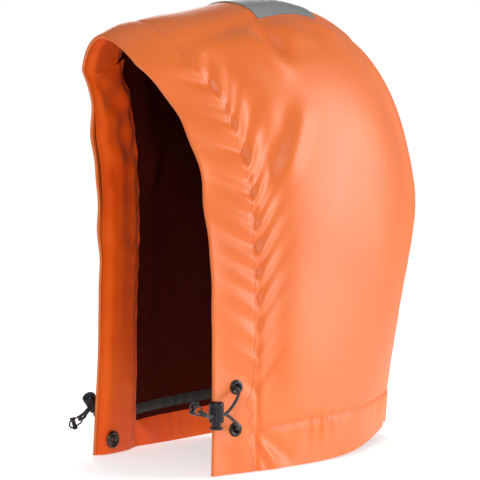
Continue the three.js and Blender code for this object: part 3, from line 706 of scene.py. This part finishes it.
def centre_pieces():
    shares = grid(1, -1, 41)[:, None]
    distance, depth = band_profile(24)

    def band(offset):
        rise = band_rise(distance, depth, offset)[None, :]
        return strip_cloth(distance[None, :] / CROWN_LENGTH, shares, rise)[0]

    build_sheet("top_brim_cloth", "outer_cloth", "top_brim_band", band, 1)
    hem_along = 2 - HEM_ROW

    def run(first, last, count, drop=0.0, relief=1.0, reach=1.0):
        along = grid(first, last, count)[None, :]
        return lambda offset: strip_cloth(along, shares * reach, offset - drop, relief)[0]

    start = (BAND_WIDTH - OVERLAP) / CROWN_LENGTH
    build_sheet("centre_cloth", "outer_cloth", "centre_panel",
                run(start, hem_along + OVERLAP / edge.length, 300), 1)
    build_sheet("back_hem_cloth", "outer_cloth", "back_neck_band",
                run(hem_along, 2, 16, -HEM_PROUD), 1)
    d = grid(FACING_START, FACING_WIDTH, 26)[None, :]

    def facing(offset):
        return strip_cloth(d / CROWN_LENGTH, shares, offset - facing_dip(d), FACING_FOLLOW)[0]

    build_sheet("top_facing_cloth", "inner_cloth", "top_facing", facing, 1)
    build_sheet("centre_lining_cloth", "mesh_lining", "centre_lining",
                run((FACING_WIDTH - OVERLAP) / CROWN_LENGTH, hem_along, 200, LINING_DEPTH + LINING_DROP,
                    LINING_FOLLOW),
                1)
    build_sheet("back_neck_facing_cloth", "inner_cloth", "back_neck_facing",
                run(hem_along, 2, 16, LINING_DEPTH), 1)
    first, last = PATCH_START / CROWN_LENGTH, (PATCH_START + PATCH_LENGTH) / CROWN_LENGTH
    patch = run(first, last, 60, -PATCH_PROUD, 1.0, 0.985)
    build_sheet("reflective_patch_film", "reflective_film", "reflective_patch", patch, 1)


# ---- binding tape and stitching --------------------------------------
def ring_points(t, drop):
    """Points all round the inside of the neck at one height, left front to right front."""
    columns, across = 90, grid(0.97, -0.97, 21)
    start = FACING_WIDTH / row_length(t)
    s = start + grid(0, 1, columns) * (1 - start)
    level, depth = np.full(columns, t), np.full(columns, -drop)
    left, right = (side_cloth(s, level, hand, depth, LINING_FOLLOW) for hand in (1, -1))
    middle = strip_cloth(np.full(21, 2 - t), across, np.full(21, -drop), LINING_FOLLOW)
    flip = np.array([-1, 1, 1])
    points = np.concatenate([left[0][:-1], middle[0], (right[0] * flip)[::-1][1:]])
    out = np.concatenate([left[1][:-1], middle[1], (right[1] * flip)[::-1][1:]])
    return points, out


def binding():
    half = 4 * MM / edge.length
    rows = [HEM_ROW + k * half for k in (-1, -0.6, 0, 0.6, 1)]
    lift = (0.2, 0.7, 0.85, 0.7, 0.2)
    base = LINING_DEPTH + 1.5 * MM
    outer = np.stack([ring_points(t, base)[0] for t in rows])
    inner = np.stack([ring_points(t, base + (0.3 + k) * MM)[0] for t, k in zip(rows, lift)])
    obj = sheet_mesh("binding_tape_run", outer, inner)
    finish_piece(obj, "binding_tape", "neck_binding")


STITCH, STITCH_GAP, THREAD = 2.4 * MM, 0.9 * MM, 0.42 * MM


def stitches(name, runs, material, slot):
    """Rows of short raised thread bars along runs of (points, normals)."""
    vertices, faces = [], []
    section = [(math.cos(q), math.sin(q)) for q in np.linspace(0, 2 * math.pi, 6, endpoint=False)]
    for points, out in runs:
        steps = np.linalg.norm(np.diff(points, axis=0), axis=1)
        far = np.concatenate([[0], np.cumsum(steps)])
        starts = np.arange(0.5 * MM, far[-1] - STITCH, STITCH + STITCH_GAP)
        for first in starts:
            ring_first = len(vertices)
            for share, swell in ((0, 0.35), (0.25, 1), (0.75, 1), (1, 0.35)):
                at = first + share * STITCH
                centre = np.array([np.interp(at, far, points[:, k]) for k in range(3)])
                normal = np.array([np.interp(at, far, out[:, k]) for k in range(3)])
                ahead = np.array([np.interp(at + MM, far, points[:, k]) for k in range(3)])
                behind = np.array([np.interp(at - MM, far, points[:, k]) for k in range(3)])
                tangent = (ahead - behind) / np.linalg.norm(ahead - behind)
                across = np.cross(normal, tangent)
                centre = centre + normal * THREAD * 0.15 * swell
                for a, b in section:
                    vertices.append(centre + (across * a + normal * b) * THREAD / 2 * swell)
            for k in range(3):
                low = ring_first + 6 * k
                faces += [[low + i, low + (i + 1) % 6, low + 6 + (i + 1) % 6, low + 6 + i] for i in range(6)]
            faces.append([ring_first + i for i in range(5, -1, -1)])
            faces.append([ring_first + 18 + i for i in range(6)])
    obj = make_object(name, vertices, faces, sharp=60)
    return finish_piece(obj, slot, material=material)


def side_run(s, t, hand, offset):
    points, out = side_cloth(s, t, hand, offset)
    flip = np.array([hand, 1, 1])
    return points * flip, out * flip


def all_stitching():
    count = 260
    up = grid(0, 1, count)
    on_band, on_panel = BAND_PROUD + 0.1 * MM, 0.1 * MM
    on_hem, on_patch = HEM_PROUD + 0.1 * MM, PATCH_PROUD + 0.1 * MM
    band_line, hem_line, seam_line, patch_line = 1.8 * MM, 1.6 * MM, 2.2 * MM, 1.6 * MM
    runs = []

    def strip_run(along, share, offset):
        along, share = np.broadcast_arrays(np.asarray(along, float), share)
        return strip_cloth(along, share, np.full(len(share), offset))

    for hand in (1, -1):
        runs.append(side_run((band_end(up) - band_line) / row_length(up), up, hand, np.full(count, on_band)))
        across = grid(BAND_WIDTH / row_length(HEM_ROW), 1, count)
        level = np.full(count, HEM_ROW - hem_line / edge.length)
        runs.append(side_run(across, level, hand, np.full(count, on_hem)))
        # beside the seam with the centre panel, over the crown and down the back
        over = grid(BAND_WIDTH / CROWN_LENGTH, 1, count)[:-4]
        inset_share = 1 - seam_line / edge.length
        down = grid(inset_share, HEM_ROW, count)
        runs.append(side_run(over, np.full(len(over), inset_share), hand, np.full(len(over), on_panel)))
        runs.append(side_run(1 - seam_line / row_length(down), down, hand, np.full(count, on_panel)))
        along = grid(BAND_WIDTH / CROWN_LENGTH, 2 - HEM_ROW, 2 * count)
        runs.append(strip_run(along, np.full(2 * count, hand * 0.96), on_panel))
    across = grid(0.97, -0.97, 60)
    runs.append(strip_run((BAND_WIDTH - band_line) / CROWN_LENGTH, across, on_band))
    runs.append(strip_run(2 - HEM_ROW + hem_line / edge.length, across, on_hem))
    stitches("orange_topstitching", runs, ORANGE_THREAD, "outer_cloth")

    first = (PATCH_START + patch_line) / CROWN_LENGTH
    last = (PATCH_START + PATCH_LENGTH - patch_line) / CROWN_LENGTH
    runs = [strip_run(grid(first, last, 80), np.full(80, share), on_patch) for share in (0.94, -0.94)]
    runs += [strip_run(along, grid(0.94, -0.94, 60), on_patch) for along in (first, last)]
    stitches("grey_patch_stitching", runs, GREY_THREAD, "reflective_film")

    points, out = ring_points(HEM_ROW + 3.4 * MM / edge.length, LINING_DEPTH + 1.55 * MM)
    stitches("tan_neck_stitching", [(points, -out)], TAN_THREAD, "inner_cloth")


# ---- cords, locks and studs ------------------------------------------
# The doubled cords from the upper eyelet to the turn and back into the lower one, in millimetres forward,
# outward and up from the middle between the eyelets.
LEFT_ROUTE = [
    [-0.8, -3.7, 16.75], [0.3, 1.8, 16.75], [1.9, 5.6, 15.4], [6.2, 8.8, 11], [12.4, 10.3, 5.4],
    [17.6, 10.5, 1], [22, 10.45, -1.3], [26, 10.45, -1.8], [35, 10.45, -1.8], [40.2, 10.45, -1.8],
    [43.4, 11.1, -0.9],
    [46.2, 12.1, 0.8], [49.4, 9, 2.6], [46.2, 5.9, 0.8], [43.4, 6.9, -0.9], [40.2, 7.55, -1.8],
    [35, 7.55, -1.8], [26, 7.55, -1.8], [22, 7.5, -2.1], [17.2, 7.4, -3.4], [11.2, 7.3, -7],
    [5.6, 6.8, -11.6], [1.4, 4.8, -15.8], [0, 1.4, -16.75], [0, -3.7, -16.75],
]
RIGHT_ROUTE = [
    [-0.8, -3.7, 16.75], [0.2, 1.8, 16.75], [1.1, 5.8, 15.6], [2.2, 9.2, 12], [3.2, 11, 6.5],
    [4.2, 11.4, 1.2], [6.5, 11.45, -4.1], [10.1, 11.45, -7], [16.3, 11.45, -11.8], [21.8, 11.45, -16.1],
    [24.3, 11.9, -18.1],
    [26.9, 13.1, -20], [29.6, 10, -22.2], [26.9, 6.9, -20], [24.3, 8.1, -18.1], [21.8, 8.55, -16.1],
    [16.3, 8.55, -11.8], [10.1, 8.55, -7], [6.2, 8.5, -4.4], [2.4, 8.4, -4.4], [-0.6, 8, -7.4],
    [-1.4, 7, -11.6], [-0.6, 4.6, -15.6], [0, 1.2, -16.75], [0, -3.7, -16.75],
]
CORD_DEPTH = 3.7 * MM


def face_drawcord():
    """The elastic cord in its channel, from above one upper eyelet to the other."""
    rows = grid((EYELET_HIGH + 4 * MM) / edge.length, 0.985, 60)
    points, out = side_cloth(CORD_LINE / row_length(rows), rows, 1, -CORD_DEPTH * np.ones(60), 0)
    across = grid(0.7, -0.7, 15)
    top = strip_cloth(np.full(15, CORD_LINE / CROWN_LENGTH), across, np.full(15, -CORD_DEPTH), 0)[0]
    path = centripetal(np.concatenate([points, top, points[::-1] * [-1, 1, 1]]), 3)
    elastic("channel_elastic", "face_drawcord", path)


# Each lock's middle in the route's own measure, and its and its pull loop's dip in degrees.
LEFT_LOCK = dict(place=(31, 9, -1.8), tip=0.0, loop_tip=-30.0)
RIGHT_LOCK = dict(place=(14, 10, -10), tip=37.8, loop_tip=20.0)


def centripetal(points, per_span=10):
    """A centripetal Catmull-Rom curve through the points."""
    p = [np.array(q, float) for q in points]
    p = [2 * p[0] - p[1], *p, 2 * p[-1] - p[-2]]
    made = []
    for a, b, c, d in zip(p, p[1:], p[2:], p[3:]):
        t0 = 0.0
        t1 = t0 + np.linalg.norm(b - a) ** 0.5
        t2 = t1 + np.linalg.norm(c - b) ** 0.5
        t3 = t2 + np.linalg.norm(d - c) ** 0.5
        for t in np.linspace(t1, t2, per_span, endpoint=False):
            a1 = (t1 - t) / (t1 - t0) * a + (t - t0) / (t1 - t0) * b
            a2 = (t2 - t) / (t2 - t1) * b + (t - t1) / (t2 - t1) * c
            a3 = (t3 - t) / (t3 - t2) * c + (t - t2) / (t3 - t2) * d
            b1 = (t2 - t) / (t2 - t0) * a1 + (t - t0) / (t2 - t0) * a2
            b2 = (t3 - t) / (t3 - t1) * a2 + (t - t1) / (t3 - t1) * a3
            made.append((t2 - t) / (t2 - t1) * b1 + (t - t1) / (t2 - t1) * b2)
    made.append(p[-2])
    return np.array(made)


def curve_tube(name, points, diameter):
    curve = bpy.data.curves.new(name, "CURVE")
    curve.dimensions = "3D"
    curve.bevel_depth = diameter / 2
    curve.bevel_resolution = 5
    curve.use_fill_caps = True
    spline = curve.splines.new("POLY")
    spline.points.add(len(points) - 1)
    for place, point in zip(spline.points, points):
        place.co = (*point, 1)
    return add_object(name, curve)


def elastic(name, node, path):
    cord = curve_tube(name, path, CORD)
    finish_piece(cord, "elastic_cord", node)


def in_metres(profile):
    return [(r * MM, z * MM) for r, z in profile]


# Profiles are (radius, height) in millimetres.
def eyelet_profile():
    hole, barrel, rim, top = 2.7, 3.6, 6.2, 1.3
    points = [(hole, -2.2), (barrel, -2.2), (barrel, 0.35), (rim - 0.5, 0.35), (rim, 0.6)]
    outward, inward = np.linspace(0.25, 1.5, 6), np.linspace(0.1, 1.5, 6)
    crown = [(rim - 1.6 + 1.6 * math.cos(q), 0.6 + (top - 0.2) * math.sin(q)) for q in outward]
    lip = [(hole + 1.0 - 1.0 * math.sin(q), 0.7 + (top - 0.35) * math.cos(q)) for q in inward]
    return in_metres(points + crown + lip)


def stud_profile():
    back, height, r, recess = -8.0, 2.6, 7.5, 2.3
    face = back - height
    points = [
        (recess, back), (recess, face + 0.9), (recess + 0.4, face + 0.25), (recess + 1.1, face),
        (recess + 1.7, face + 0.3), (recess + 2.1, face + 0.9), (r - 2.6, face + 0.9), (r - 2.0, face + 0.3),
        (r - 1.3, face), (r - 0.5, face + 0.3), (r, face + 1.1), (r, back),
    ]
    return in_metres(points)


def fluted(r, z, turn):
    """Twelve shallow grooves down the barrel's side."""
    grooves = np.clip(np.cos(12 * turn), 0, 1) ** 2
    return r - 0.45 * MM * grooves * (r > 5.4 * MM) * (-5 * MM < z < 8.6 * MM)


def barrel(name, matrix):
    foot, top, r = -6.0, 11.0, 6.0
    profile = [(0, foot), (r - 0.9, foot), (r - 0.2, foot + 0.3), (r, foot + 0.9)]
    profile += [(r, z) for z in np.linspace(foot + 1.3, top - 2.6, 8)]
    round_top = 2.4
    profile += [(r - round_top + round_top * math.cos(q), top - round_top + round_top * math.sin(q))
                for q in np.linspace(0.1, 1.5, 7)]
    profile += [(0, top)]
    body = lathe(name, in_metres(profile), matrix, 96, fluted)
    bore = lathe("cutter", in_metres([(0, -7), (4.2, -7), (4.2, 9.4), (0, 9.4)]), matrix, 48)
    return carve(body, [bore, block((-9, -3.1, -1.65), (9, 3.1, 1.65), matrix)])


def plunger(name, matrix):
    flange, top = 5.4, -9.35
    foot = top - 2.2
    profile = [(0, foot), (flange - 0.9, foot), (flange - 0.2, foot + 0.3), (flange, foot + 0.8),
               (flange, top - 0.5), (flange - 0.4, top), (3.85, top), (3.85, 2.7), (3.5, 3.05), (0, 3.05)]
    body = lathe(name, in_metres(profile), matrix, 64)
    return carve(body, [block((-9, -3.1, -4.65), (9, 3.1, 1.65), matrix)])


SPRING_FOOT, SPRING_HEAD, SPRING_RADIUS, SPRING_WIRE = 3.7 * MM, 8.7 * MM, 2.4 * MM, 0.5 * MM


def coil_spring(hand_name, matrix):
    """Four and a half turns of wire between the plunger's head and the barrel's roof."""
    turn = np.linspace(0, 9 * math.pi, 150)
    rise = SPRING_FOOT + (SPRING_HEAD - SPRING_FOOT) * turn / turn[-1]
    r = SPRING_RADIUS
    points = [matrix @ Vector((r * math.cos(q), r * math.sin(q), z)) for q, z in zip(turn, rise)]
    wire = curve_tube("wire", points, SPRING_WIRE)
    depsgraph = bpy.context.evaluated_depsgraph_get()
    mesh = bpy.data.meshes.new_from_object(wire.evaluated_get(depsgraph))
    bpy.data.objects.remove(wire)
    spring = add_object(f"{hand_name}_spring", mesh)
    finish_piece(spring, "spring_steel", f"{hand_name}_lock_spring", f"{hand_name}_lock")
    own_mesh(spring)


def pull_loop(name, matrix):
    """A thin closed loop with straight sides."""
    half, straight, wire = 3.3 * MM, 8 * MM, 0.7 * MM
    start = half + straight / 2 - (1.3 + 0.7 + 0.7) * MM
    turn = np.linspace(0, 2 * math.pi, 64, endpoint=False)
    vertices, faces = [], []
    for q in turn:
        shift = start + math.copysign(straight / 2, math.cos(q) + 1e-9)
        for k in np.linspace(0, 2 * math.pi, 12, endpoint=False):
            r = half + wire * math.cos(k)
            vertices.append(matrix @ Vector((shift + r * math.cos(q), wire * math.sin(k), r * math.sin(q))))
    for i in range(64):
        for k in range(12):
            a, b = 12 * i + k, 12 * i + (k + 1) % 12
            c, d = 12 * ((i + 1) % 64) + (k + 1) % 12, 12 * ((i + 1) % 64) + k
            faces.append([a, d, c, b])
    return make_object(name, vertices, faces)


def pull_bar(name, matrix):
    half, knob, waist = 5.5, 2.3, 1.8
    end = [(knob - 0.9 + 0.9 * math.cos(q), half - 0.9 + 0.9 * math.sin(q)) for q in np.linspace(1.5, 0, 6)]
    neck = [(knob, half - 1.5), (knob - 0.15, half - 2.0), (waist, half - 2.6)]
    upper = [(0, half), *end, *neck]
    profile = [(r, -z) for r, z in upper] + [(r, z) for r, z in reversed(upper)]
    place = matrix @ Matrix.Translation(((8 + 3.3 - 2.7 - 1.6) * MM, 0, 0))
    return lathe(name, in_metres(profile), place, 40)


def fittings(name, hand, route, lock):
    for which, height in (("upper", EYELET_HIGH), ("lower", EYELET_LOW)):
        ring = lathe(f"{name}_{which}_eyelet_ring", eyelet_profile(), frame_at(CORD_LINE, height, hand), 56)
        finish_piece(ring, "eyelet_enamel", f"{name}_{which}_eyelet")
    stud = lathe(f"{name}_stud_ring", stud_profile()[::-1], frame_at(STUD_IN, STUD_UP, hand), 56)
    finish_piece(stud, "stud_metal", f"{name}_stud_socket")

    high = frame_at(CORD_LINE, EYELET_HIGH, hand).translation
    low = frame_at(CORD_LINE, EYELET_LOW, hand).translation
    middle = (high + low) / 2

    def at(point):
        forward, outward, up = (k * MM for k in point)
        return Vector((middle.x + hand * outward, middle.y - forward, middle.z + up))

    def forward_frame(point, tip):
        tilt = math.radians(tip)
        forward = Vector((0, -math.cos(tilt), -math.sin(tilt)))
        up = Vector((0, -math.sin(tilt), math.cos(tilt)))
        matrix = Matrix((forward, up.cross(forward), up)).transposed().to_4x4()
        matrix.translation = point
        return matrix

    elastic(f"{name}_elastic", f"{name}_cord_tail", centripetal([at(p) for p in route]))

    lock_matrix = forward_frame(at(lock["place"]), lock["tip"])
    body = barrel(f"{name}_barrel", lock_matrix)
    finish_piece(body, "lock_plastic", f"{name}_lock_barrel", f"{name}_lock")
    button = plunger(f"{name}_plunger", lock_matrix)
    finish_piece(button, "lock_plastic", f"{name}_lock_plunger", f"{name}_plunger")
    coil_spring(name, lock_matrix)
    loop_matrix = forward_frame(at(route[len(route) // 2]), lock["loop_tip"])
    finish_piece(pull_loop(f"{name}_loop", loop_matrix), "elastic_cord", f"{name}_pull_loop", f"{name}_pull")
    finish_piece(pull_bar(f"{name}_bar", loop_matrix), "lock_plastic", f"{name}_pull_bar", f"{name}_pull")


# ---- stage -----------------------------------------------------------
# Soft boxes: place, width and watts.
LIGHTS = [
    ("key", (1.45, 1.2, 0.5), 0.9, 25), ("fill", (1.1, -1.5, 0.95), 0.6, 14),
    ("top", (0.1, -0.2, 2.0), 0.8, 2), ("back", (-1.4, 1.0, 0.9), 0.9, 13),
]
MIDDLE = Vector((0, 0, 0.2))
ROOM_LIGHT, ROOM_SHOWN = 0.28, 1.0  # how bright the room is as a light, and behind the object


def stage():
    corners = [(x, y, -MM) for x, y in ((-6, -6), (6, -6), (6, 6), (-6, 6))]
    floor = make_object("floor", corners, [(0, 1, 2, 3)])
    paint = Paint("floor", 0.9)
    paint.tone(paint.noise(2, 1), (0.9, 0.9, 0.9), (0.93, 0.93, 0.93))
    away = paint.node("ShaderNodeVectorMath", operation="LENGTH")
    paint.link(paint.place, away.inputs[0])
    fade = paint.node("ShaderNodeMapRange", interpolation_type="SMOOTHSTEP")
    for socket, value in (("From Min", 0.35), ("From Max", 1.6), ("To Min", 1.0), ("To Max", 0.0)):
        fade.inputs[socket].default_value = value
    paint.link(away.outputs["Value"], fade.inputs["Value"])
    paint.link(fade.outputs["Result"], paint.shader.inputs["Alpha"])
    paint.shader.inputs["Emission Color"].default_value = (1, 1, 1, 1)
    paint.shader.inputs["Emission Strength"].default_value = 0.5
    floor.data.materials.append(paint.material)
    world = bpy.data.worlds.new("studio")
    world.use_nodes = True
    nodes, links = world.node_tree.nodes, world.node_tree.links
    rays, level = nodes.new("ShaderNodeLightPath"), nodes.new("ShaderNodeMapRange")
    level.inputs["To Min"].default_value, level.inputs["To Max"].default_value = ROOM_LIGHT, ROOM_SHOWN
    links.new(rays.outputs["Is Camera Ray"], level.inputs["Value"])
    nodes["Background"].inputs["Color"].default_value = (1, 1, 1, 1)
    links.new(level.outputs["Result"], nodes["Background"].inputs["Strength"])
    bpy.context.scene.world = world
    for name, place, size, watts in LIGHTS:
        light = bpy.data.lights.new(name, "AREA")
        light.energy, light.size = watts, size
        box = add_object(name, light)
        box.location = place
        box.rotation_euler = (MIDDLE - Vector(place)).to_track_quat("-Z", "Y").to_euler()
    bpy.context.scene.view_settings.view_transform = "Standard"


paint_nodes()
for name, hand in (("left", 1), ("right", -1)):
    side_pieces(name, hand)
centre_pieces()
binding()
all_stitching()
face_drawcord()
fittings("left", 1, LEFT_ROUTE, LEFT_LOCK)
fittings("right", -1, RIGHT_ROUTE, RIGHT_LOCK)
stage()
